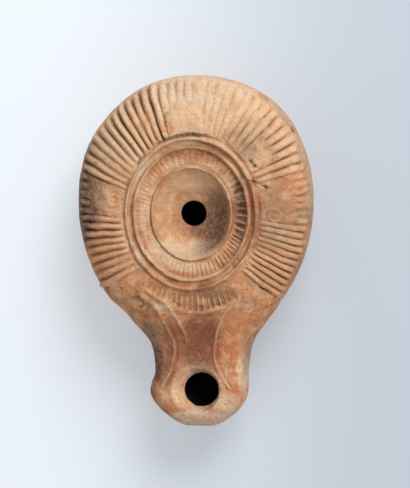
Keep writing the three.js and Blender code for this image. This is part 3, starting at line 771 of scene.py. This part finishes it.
def ring_wear(at):
    """The thin rings wander and are lower and flatter in places. A groove parts them from the shoulder."""
    band = between(at.ring, 10.6, 11.2, 18.2, 19.4)
    north = smoothstep(np.cos(np.radians(at.turn - 10)), 0.1, 0.7)
    groove = ridge(at.ring + 0.15 * cloud(at.places, 2, 22) - PARTING_RING, 0.24) * (0.15 + 0.5 * north)
    groove = groove * wear(at, 0.6, 0.6, 5, 23, 0.1, 1.2)
    wandering = at.ring + 0.12 * cloud(at.places, 7, 24)
    crests = sum(height * ridge(wandering - radius, half_width) for radius, height, half_width in RING_LINES)
    return band * 0.22 * layered(at.places, 4, 21) - groove + crests * wear(at, 0.85, 0.5, 3, 25, 0.2, 1.3)


def inside_tongue(number, pitch, half_width, beyond):
    """How far inside its tongue's border each point lies, where `beyond` is how far it is past the sides."""
    return half_width - np.hypot(np.abs(number % 1 - 0.5) * pitch, np.maximum(beyond, 0))


def tongues(at):
    """Hollows round the rings' inner side, each closed by a rounded end towards the middle."""
    counted = np.concatenate([[0], np.cumsum(TONGUE_COUNTS)])
    number = np.interp(at.turn, TONGUE_TURNS, counted) + 0.12 * cloud(at.places, 8, 31)
    cell = np.searchsorted(TONGUE_TURNS, at.turn, side="right").clip(1, len(TONGUE_COUNTS)) - 1
    pitch = np.radians(np.diff(TONGUE_TURNS) / TONGUE_COUNTS)[cell] * at.radius
    half_width = 0.39 * pitch
    end = TONGUE_END + 0.3 * chance(number, 32) + half_width
    inside = inside_tongue(number, pitch, half_width, end - at.ring)
    hollow = smoothstep(inside, -0.08, 0.3) * (1 - smoothstep(at.ring, 14.9, 15.4))
    border = ridge(np.abs(number % 1 - 0.5) * 2 - 1, 0.3) * between(at.ring, 12, 12.4, 15, 15.3)
    strength = np.interp(at.turn, *zip(*TONGUE_STRENGTH))
    worn = wear(at, 0.8, 0.5, 4, 33, 0.2, 1.1) * lerp(0.65, 1.1, chance(number, 34))
    return (BORDER_HEIGHT * border - TONGUE_DEPTH * hollow) * strength * worn


def garland(at):
    """A fringe of tongues hanging from the rings on the nozzle's side, each closed below."""
    first, last, count = GARLAND
    number = (at.turn - first) / (last - first) * count + 0.1 * cloud(at.places, 6, 41)
    pitch = math.radians((last - first) / count) * at.radius
    distance, share, side = from_line(at.places[:, :2], smooth_line(GARLAND_EDGE, 6))
    height = distance * -side
    half_width = 0.41 * pitch
    inside = inside_tongue(number, pitch, half_width, half_width + 0.5 - height)
    fringe = smoothstep(at.ring, 19.3, 19.9) * between(at.turn, first, first + 3, last - 3, last)
    hollow = smoothstep(inside, -0.08, 0.32) * fringe
    kernel = ridge(inside - half_width, 0.3) * hollow * (chance(number, 44) > 0.4)
    border = ridge(distance, 0.35) * between(share, 0, 0.06, 0.94, 1)
    border = border + 1.2 * ridge(inside + 0.1, 0.2) * smoothstep(height, -0.1, 0.3) * fringe
    strength = np.interp(at.turn, *zip(*GARLAND_STRENGTH))
    worn = wear(at, 0.85, 0.4, 4, 42, 0.3, 1.1) * lerp(0.7, 1.1, chance(number, 43))
    return (BORDER_HEIGHT * border + GARLAND_DEPTH * strength * (0.6 * kernel - hollow)) * worn


def volutes(at):
    """The nozzle's curved ridges, with the lower strips and the cuts beside them."""
    near = at.y < -14
    points = at.places[near, :2]
    total = np.zeros(len(at.places))
    for line, height, half_width, step, cut, soft in VOLUTES:
        distance, share, side = from_line(points, smooth_line(line, 8))
        across = distance * side
        ends = between(share, 0, 0.05, 0.93, 1)
        lower = step * smoothstep(across, 0.2, soft) * ridge(distance, 6) * ends
        groove = cut * ridge(across + 0.75, 0.28) * ends * smoothstep(share, 0.35, 0.55)
        total[near] += ends * height * ridge(distance, half_width) - lower - groove
    return total * wear(at, 0.85, 0.35, 4, 51, 0.4, 1.1) * at.top


def circles(at):
    """Scrolls' eyes, rosettes and bosses, and the arched edge of the handle's root."""
    total = np.zeros(len(at.places))
    for x, y, radius, strength in SCROLL_EYES + ROSETTES:
        away = np.hypot(at.x - x, at.y - y)
        raised = 0.4 * ridge(away - radius, 0.35) + 0.35 * ridge(away, 0.55)
        sunk = 0.3 * ridge(away - radius * 0.55, 0.3) + 0.25 * ridge(away - radius - 0.7, 0.35)
        total += strength * (raised - sunk)
    for x, y, radius, height in BOSSES:
        total += height * (1 - smoothstep(np.hypot(at.x - x, at.y - y), radius * 0.4, radius * 1.2))
    arch = ridge((pad_reach(at.x, at.y) - 0.95) * PAD.half_width, 0.4) * smoothstep(at.y, 24, 28)
    return (total + 0.28 * arch) * at.top


def wick_rim(at):
    """A soft raised lip round the wick hole's bevel."""
    away = np.hypot(at.x - WICK_BEVEL[0], at.y - WICK_BEVEL[1])
    lip = 0.3 * ridge(away - WICK_BEVEL[2] - 0.5, 0.7)
    ripples = 0.1 * np.sin(away * 5.2 + 1.5 * cloud(at.places, 4, 62)) * ridge(away - 6, 1.6)
    ripples = ripples * smoothstep(-at.y, 46, 54)
    return (lip + ripples + 0.12 * ridge(away - 5.5, 1.1) * cloud(at.places, 1.6, 61)) * at.top


def damage(at):
    """Crevices, cracks and pits."""
    points = at.places[:, :2]
    wander = points + 0.3 * np.column_stack([cloud(at.places, 1.1, 71), cloud(at.places, 1.1, 72)])
    total = -CREVICE_DEPTH * ridge(from_line(wander, smooth_line(PAD_CREVICE, 6))[0], CREVICE_WIDTH)
    for line, width, depth in CRACKS:
        total -= depth * ridge(from_line(wander, line)[0], width + 0.05)
    for x, y, radius, depth in PITS:
        away = np.hypot(wander[:, 0] - x, wander[:, 1] - y)
        total -= depth * (1 - smoothstep(away, radius * 0.3, radius))
    small = smoothstep(cloud(at.places, 1.3, 73), 0.72, 0.86) * smoothstep(cloud(at.places, 9, 74), -0.3, 0.5)
    return (total - 0.22 * small) * at.top


def unevenness(at):
    """Hand-pressed clay: slow swells, fingers' marks and grain."""
    swells = 0.22 * cloud(at.places, 11, 81) + 0.12 * cloud(at.places, 5, 82)
    presses = 0.07 * cloud(at.places, 2.2, 83)
    grain = 0.06 * lerp(0.6, 1.5, smoothstep(-at.y, 50, 58)) * (
        cloud(at.places, 1.0, 84) + 0.7 * cloud(at.places, 0.55, 85))
    return (swells * smoothstep(at.edge, 0, 3) + presses + grain) * at.outside


def carve(skin):
    """The finished points, with what the paint needs to know about each."""
    places = np.concatenate(skin.places)
    turn, side = np.concatenate(skin.turns), np.concatenate(skin.sides)
    x, y = places[:, 0], places[:, 1]
    at = SimpleNamespace(
        places=places, x=x, y=y, turn=turn % 360, side=side, ring=ring_radius(x, y), radius=np.hypot(x, y),
        edge=edge_distance(places[:, :2]), top=(side == TOP) * 1.0, outside=(side != INSIDE) * 1.0,
    )
    small = (tongues(at) + garland(at)) * at.top
    scrolls = volutes(at)
    large = ribs(at) * at.top + circles(at)
    broken = damage(at)
    soft = unevenness(at) + wick_rim(at) + ring_wear(at) * at.top
    inwards = 0.06 * at.outside * ridge(at.edge, 1.2)
    at.small, at.broken = small, broken
    # Crests of fine are lightened and its grooves darkened in the paint: wear and dirt, with painted
    # highlight and shade that make up for the relief's flattened shading.
    at.fine = large + 0.3 * np.minimum(scrolls, 0) + np.maximum(scrolls, 0) + 0.45 * small
    relief = large + scrolls + small + broken + soft - inwards
    at.carved = places + normals_of(places, skin.faces) * relief[:, None]
    foot = (side == BOTTOM) & (places[:, 2] < 0.05)
    at.carved[foot] = places[foot]
    return at


# ---- paint marks


def patches(at, name):
    """The strongest of a paint's ragged patches at each point."""
    strongest = np.zeros(len(at.places))
    for strength, x, y, half_x, half_y, seed, *ragged in PATCHES[name]:
        away = np.hypot((at.x - x) / half_x, (at.y - y) / half_y)
        away = away + (ragged or [RAGGED])[0] * layered(at.places, 4, 90 + seed)
        strongest = np.maximum(strongest, strength * (1 - smoothstep(away, 0.7, 1.2)))
    return strongest


def facing(at, turn, low, high):
    """How far each point lies towards one turn of the lamp: `low` and `high` are cosines."""
    return smoothstep(np.cos(np.radians(at.turn - turn)), low, high)


def dark_lines(at):
    """Darkening in the groove round the rings, mostly at the back, where it is painted shadow from the
    shoulder's edge, and in the two grooves inside it, where it is dirt and painted shade.
    """
    parting = (0.25 + 0.65 * facing(at, 10, -0.3, 0.6)) * ridge(at.ring - PARTING_RING, 0.3)
    inner = 0.5 * ridge(at.ring - 11.4, 0.25) + 0.4 * ridge(at.ring - 16.4, 0.35)
    return (parting + inner) * wear(at, 0.8, 0.8, 3, 65, 0, 1.2)


def marks(at):
    """How strongly each paint covers each point, and how worn, deep or hollow the point is. Some of it is
    painted light: shadow on the funnel's east side, shade on the discus floor, along the left edge, in the
    grooves and in the hollow inside, and highlight on the crests.
    """
    inside = at.side == INSIDE
    away = np.hypot(at.x - WICK_BEVEL[0], at.y - WICK_BEVEL[1])
    funnel = (1 - smoothstep(at.ring, 9.5, 11)) * at.top
    # Painted shadow over soot on the east side of the funnel and its floor.
    east_soot_and_shadow = facing(at, 110, 0.15, 0.85)
    # Soot and painted shade along the left edge, on the side turned from the light.
    left_edge_soot_and_shade = between(at.turn, 240, 252, 296, 312) * (1 - smoothstep(at.edge, 1.5, 7))
    right_edge = (1 - smoothstep(at.edge, 0.8, 2.6)) * smoothstep(at.x, 14, 26) * smoothstep(at.y, -22, -14)
    # The wick hole's bevel is paler, with a painted highlight on its upper left side, which faces the light.
    bevel = between(away, 4.0, 5.0, 6.6, 8) * lerp(0.3, 1, smoothstep(at.y - at.x, -54, -46))
    warm = smoothstep(layered(at.places, 14, 56) * 9 - at.y, -22, 20)
    red = smoothstep(layered(at.places, 8, 57) * 4 - at.y, 22, 34) * smoothstep(away, 6.5, 8.5)
    soot_and_shadow = np.maximum.reduce([patches(at, "soot_and_shadow"), 0.5 * left_edge_soot_and_shade, 0.9 * funnel * east_soot_and_shadow])
    orange = np.maximum(patches(at, "orange"), 0.9 * ridge(at.ring - 14.6, 1.0) * (1 - east_soot_and_shadow) * at.top)
    dark = np.maximum.reduce([
        # Painted shadow on the funnel's east side and painted shade on the discus floor at the bottom of the
        # funnel.
        patches(at, "dark"), 0.5 * funnel * east_soot_and_shadow, 0.5 * (1 - smoothstep(at.ring, 5.8, 6.8)) * at.top,
        0.4 * ridge(at.ring - 14.8, 0.7) * at.top,
    ])
    pale = np.maximum.reduce([patches(at, "pale"), bevel, 0.3 * (1 - smoothstep(away, 8, 12))])
    # Grooves, cracks and pits are darkened: dirt and painted shade.
    deep = np.clip(-1.5 * at.fine - 1.2 * at.broken + dark_lines(at), 0, 1)
    return {
        "warm": warm, "red": red * (1 - 0.7 * smoothstep(np.abs(at.x), 5, 10)), "calm": funnel,
        "pale": pale, "orange": orange, "dark": dark, "lime": patches(at, "lime"),
        "green": np.maximum(patches(at, "green"), 0.65 * right_edge), "soot_and_shadow": np.where(inside, 1, soot_and_shadow),
        # Crests lightened: wear and painted highlight.
        "worn": np.clip(0.45 + 1.2 * at.fine + 4 * np.maximum(at.small, 0), 0, 1),
        "deep": np.where(inside, 1, deep), "hollow": np.where(inside, 1.0, 0.0),
    }


# ---- objects


def new_object(name, places, faces):
    mesh = bpy.data.meshes.new(name)
    mesh.from_pydata(places.tolist(), [], [tuple(int(i) for i in face) for face in faces])
    mesh.polygons.foreach_set("use_smooth", [True] * len(mesh.polygons))
    mesh.update()
    thing = bpy.data.objects.new(name, mesh)
    bpy.context.collection.objects.link(thing)
    return thing


def make_lamp():
    skin = lamp_skin()
    at = carve(skin)
    low, high = (np.array(corner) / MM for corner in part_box("lamp_body"))
    carved = np.clip(at.carved, low + BOX_MARGIN, high - BOX_MARGIN)
    lamp = new_object("lamp_clay", carved * MM, skin.faces)
    for name, values in marks(at).items():
        layer = lamp.data.attributes.new(name, "FLOAT", "POINT")
        layer.data.foreach_set("value", values.astype(np.float32))
    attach(lamp, "root")
    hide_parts("lamp_body")
    return lamp


class Nodes:
    """Short names for the few node kinds that the materials need."""

    def __init__(self, tree):
        self.tree = tree

    def put(self, node, sockets):
        """Set sockets, or link them to other nodes' outputs."""
        for socket, value in sockets.items():
            if hasattr(value, "is_output"):
                self.tree.links.new(value, node.inputs[socket])
            else:
                node.inputs[socket].default_value = value

    def new(self, kind, sockets, **settings):
        node = self.tree.nodes.new(kind)
        for key, value in settings.items():
            setattr(node, key, value)
        self.put(node, sockets)
        return node

    def place(self):
        return self.new("ShaderNodeTexCoord", {}).outputs["Object"]

    def mark(self, name):
        return self.new("ShaderNodeAttribute", {}, attribute_name=name).outputs["Fac"]

    def noise(self, scale, detail, roughness):
        sockets = {"Vector": self.place(), "Scale": scale, "Detail": detail, "Roughness": roughness}
        return self.new("ShaderNodeTexNoise", sockets).outputs["Fac"]

    def product(self, first, second):
        return self.new("ShaderNodeMath", {0: first, 1: second}, operation="MULTIPLY").outputs[0]

    def ramp(self, value, low, high, start=0.0, end=1.0):
        sockets = {"Value": value, "From Min": low, "From Max": high, "To Min": start, "To Max": end}
        return self.new("ShaderNodeMapRange", sockets, interpolation_type="SMOOTHSTEP").outputs["Result"]

    def mix(self, share, under, over):
        return self.new("ShaderNodeMix", {0: share, 6: under, 7: over}, data_type="RGBA").outputs[2]

    def bump(self, distance, sockets):
        return self.new("ShaderNodeBump", {"Strength": 0.9, "Distance": distance, **sockets}).outputs[0]


def colour(red, green, blue):
    """Screen colour, 0 to 255, as a scene colour."""
    parts = [value / 255 for value in (red, green, blue)]
    return (*[part / 12.92 if part <= 0.04045 else ((part + 0.055) / 1.055) ** 2.4 for part in parts], 1.0)


CLAY_NORTH = colour(222, 176, 134)
CLAY = colour(200, 142, 98)
CLAY_RED = colour(176, 96, 62)
CLAY_LIGHT = colour(232, 192, 152)
ORANGE = colour(204, 116, 66)
# Colour of soot, also used for painted shadow.
SOOT_AND_SHADOW = colour(72, 48, 46)
LIME = colour(236, 214, 184)
GREEN = colour(146, 130, 106)
DARK = colour(120, 72, 50)
PALE = colour(240, 208, 170)
DEEP = colour(78, 38, 22)
INSIDE_SHADE = colour(16, 12, 11)
# The table's colours: darker on the right as painted light falloff.
TABLE_LEFT = colour(220, 225, 229)
TABLE_RIGHT = colour(183, 189, 197)

# Scales of the clay's noises, per metre, and heights of its grain, in metres.
BLOTCHES = 190
MOTTLES = 420
GRAIN = 900
DARK_SPECKS = 2300
FINE_GRAIN = 2800
LIME_SPECKS = 2900
COARSE_GRAIN_HEIGHT = 0.0009
FINE_GRAIN_HEIGHT = 0.0004

# The table's half size, half the width over which it darkens, and its gap under the foot, in metres.
TABLE_REACH = 1.2
TABLE_FADE = 0.055
TABLE_GAP = 0.0002
# The table's glow, painted light that lightens the shadows on it.
TABLE_GLOW = 0.48


def clay_paint(n, grain):
    """Red and pale clay, with each paint laid over it in turn, then dirt and painted shade in the grooves,
    specks, and the hollow inside painted near black as shade.
    """
    patchy = n.ramp(grain, 0.36, 0.62, 0.5, 1.0)

    def layer(base, name, paint, most):
        return n.mix(n.product(n.product(n.mark(name), patchy), most), base, paint)

    base = n.mix(n.mark("warm"), CLAY_NORTH, CLAY)
    base = n.mix(n.product(n.mark("red"), 0.85), base, CLAY_RED)
    reddened = n.ramp(n.noise(BLOTCHES, 4, 0.6), 0.42, 0.66, 0, 0.6)
    base = n.mix(n.product(reddened, n.ramp(n.mark("calm"), 0, 1, 1, 0.25)), base, CLAY_RED)
    mottled = n.ramp(n.noise(MOTTLES, 4, 0.6), 0.45, 0.66, 0, 0.6)
    base = n.mix(n.product(mottled, n.ramp(n.mark("red"), 0, 1, 1, 0.4)), base, CLAY_LIGHT)
    base = layer(base, "pale", PALE, 0.8)
    base = layer(base, "orange", ORANGE, 0.75)
    base = layer(base, "dark", DARK, 0.8)
    # Crests lightened with wear and painted highlight.
    base = n.mix(n.ramp(n.mark("worn"), 0.5, 0.95, 0, 0.4), base, CLAY_LIGHT)
    base = layer(base, "lime", LIME, 0.75)
    base = layer(base, "green", GREEN, 0.75)
    base = layer(base, "soot_and_shadow", SOOT_AND_SHADOW, 0.85)
    # Grooves darkened with dirt and painted shade.
    base = n.mix(n.ramp(n.mark("deep"), 0.05, 0.7, 0, 0.72), base, DEEP)
    base = n.mix(n.ramp(n.noise(DARK_SPECKS, 4, 0.7), 0.54, 0.70, 0, 0.6), base, DARK)
    base = n.mix(n.ramp(n.noise(LIME_SPECKS, 3, 0.7), 0.57, 0.75, 0, 0.4), base, LIME)
    # The hollow inside is painted near black as shade.
    return n.mix(n.mark("hollow"), base, INSIDE_SHADE)


def clay_material():
    material = bpy.data.materials.new("worn_terracotta")
    material.use_nodes = True
    n = Nodes(material.node_tree)
    grain = n.noise(GRAIN, 5, 0.7)
    coarse = n.bump(COARSE_GRAIN_HEIGHT, {"Height": grain})
    fine = n.bump(FINE_GRAIN_HEIGHT, {"Height": n.noise(FINE_GRAIN, 3, 0.6), "Normal": coarse})
    n.put(material.node_tree.nodes["Principled BSDF"], {
        "Base Color": clay_paint(n, grain), "Roughness": 0.85, "Specular IOR Level": 0.25, "Normal": fine,
    })
    return material


def table_material():
    """White paper that is a little darker towards the right, as painted light falloff, and glows to lighten
    the shadows on it.
    """
    material = bpy.data.materials.new("pale_table")
    material.use_nodes = True
    n = Nodes(material.node_tree)
    across = n.new("ShaderNodeSeparateXYZ", {0: n.place()}).outputs[0]
    paint = n.mix(n.ramp(across, -TABLE_FADE, TABLE_FADE), TABLE_LEFT, TABLE_RIGHT)
    n.put(material.node_tree.nodes["Principled BSDF"], {
        "Base Color": paint, "Roughness": 0.9, "Specular IOR Level": 0.1,
        "Emission Color": paint, "Emission Strength": TABLE_GLOW,
    })
    return material


def make_table():
    ends = (-TABLE_REACH, TABLE_REACH)
    corners = np.array([(x, y, -TABLE_GAP) for x, y in zip(ends + ends[::-1], np.repeat(ends, 2))])
    table = new_object("table_top", corners, [(0, 1, 2, 3)])
    table.data.materials.append(table_material())


# ---- camera and light

VIEW_MIDDLE = (2.5, -9.1, 14.5)
VIEW_HEIGHT = 135.9
VIEW_DISTANCE = 650
SENSOR = 36
TILT_RIGHT = 5.7
TILT_BACK = 4.0

# Lights: name, place in metres, size, power, tint, and whether it lights the lamp alone.
LIGHTS = [
    ("window", (0.28, 0.66, 0.60), 0.6, 5.5, (0.98, 0.99, 1.0), False),
    ("side_window", (0.68, 0.32, 0.82), 0.3, 7.0, (1.0, 0.98, 0.95), True),
    ("front_card", (-0.22, -0.66, 0.42), 0.5, 1.3, (1.0, 0.97, 0.93), True),
]
AIM = Vector((0, -0.01, 0.01))
ROOM_TINT = (0.9, 0.95, 1.0, 1)
ROOM_STRENGTH = 0.43


def make_camera():
    camera = bpy.data.cameras.new("camera")
    camera.sensor_width = SENSOR
    camera.lens = SENSOR * VIEW_DISTANCE / VIEW_HEIGHT
    camera.clip_start = 0.01
    eye = bpy.data.objects.new("camera", camera)
    bpy.context.collection.objects.link(eye)
    away = Vector((math.tan(math.radians(TILT_RIGHT)), math.tan(math.radians(TILT_BACK)), 1)).normalized()
    right = Vector((0, 1, 0)).cross(away).normalized()
    turned = Matrix((right, away.cross(right), away)).transposed().to_4x4()
    turned.translation = Vector(VIEW_MIDDLE) * MM + away * VIEW_DISTANCE * MM
    eye.matrix_world = turned
    bpy.context.scene.camera = eye


def area_light(name, place, size, power, tint):
    light = bpy.data.lights.new(name, "AREA")
    light.shape = "DISK"
    light.size = size
    light.energy = power
    light.color = tint
    source = bpy.data.objects.new(name, light)
    bpy.context.collection.objects.link(source)
    source.location = place
    source.rotation_euler = (AIM - Vector(place)).to_track_quat("-Z", "Y").to_euler()
    return source


def make_light(lamp):
    """A wide window behind. A smaller one on the right and a weak card in front light the lamp alone."""
    lit = bpy.data.collections.new("lamp_alone")
    lit.objects.link(lamp)
    for *light, alone in LIGHTS:
        source = area_light(*light)
        if alone:
            source.light_linking.receiver_collection = lit
    world = bpy.data.worlds.new("room")
    world.use_nodes = True
    background = world.node_tree.nodes["Background"]
    background.inputs["Color"].default_value = ROOM_TINT
    background.inputs["Strength"].default_value = ROOM_STRENGTH
    bpy.context.scene.world = world
    bpy.context.scene.view_settings.view_transform = "Standard"


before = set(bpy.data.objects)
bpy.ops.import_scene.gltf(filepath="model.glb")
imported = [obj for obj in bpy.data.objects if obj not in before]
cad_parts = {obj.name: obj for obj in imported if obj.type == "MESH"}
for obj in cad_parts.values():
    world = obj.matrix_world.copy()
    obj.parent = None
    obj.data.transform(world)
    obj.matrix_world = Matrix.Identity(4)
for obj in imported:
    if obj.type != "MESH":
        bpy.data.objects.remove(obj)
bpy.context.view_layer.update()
lamp_clay = make_lamp()
lamp_clay.data.materials.append(clay_material())
make_table()
make_camera()
make_light(lamp_clay)
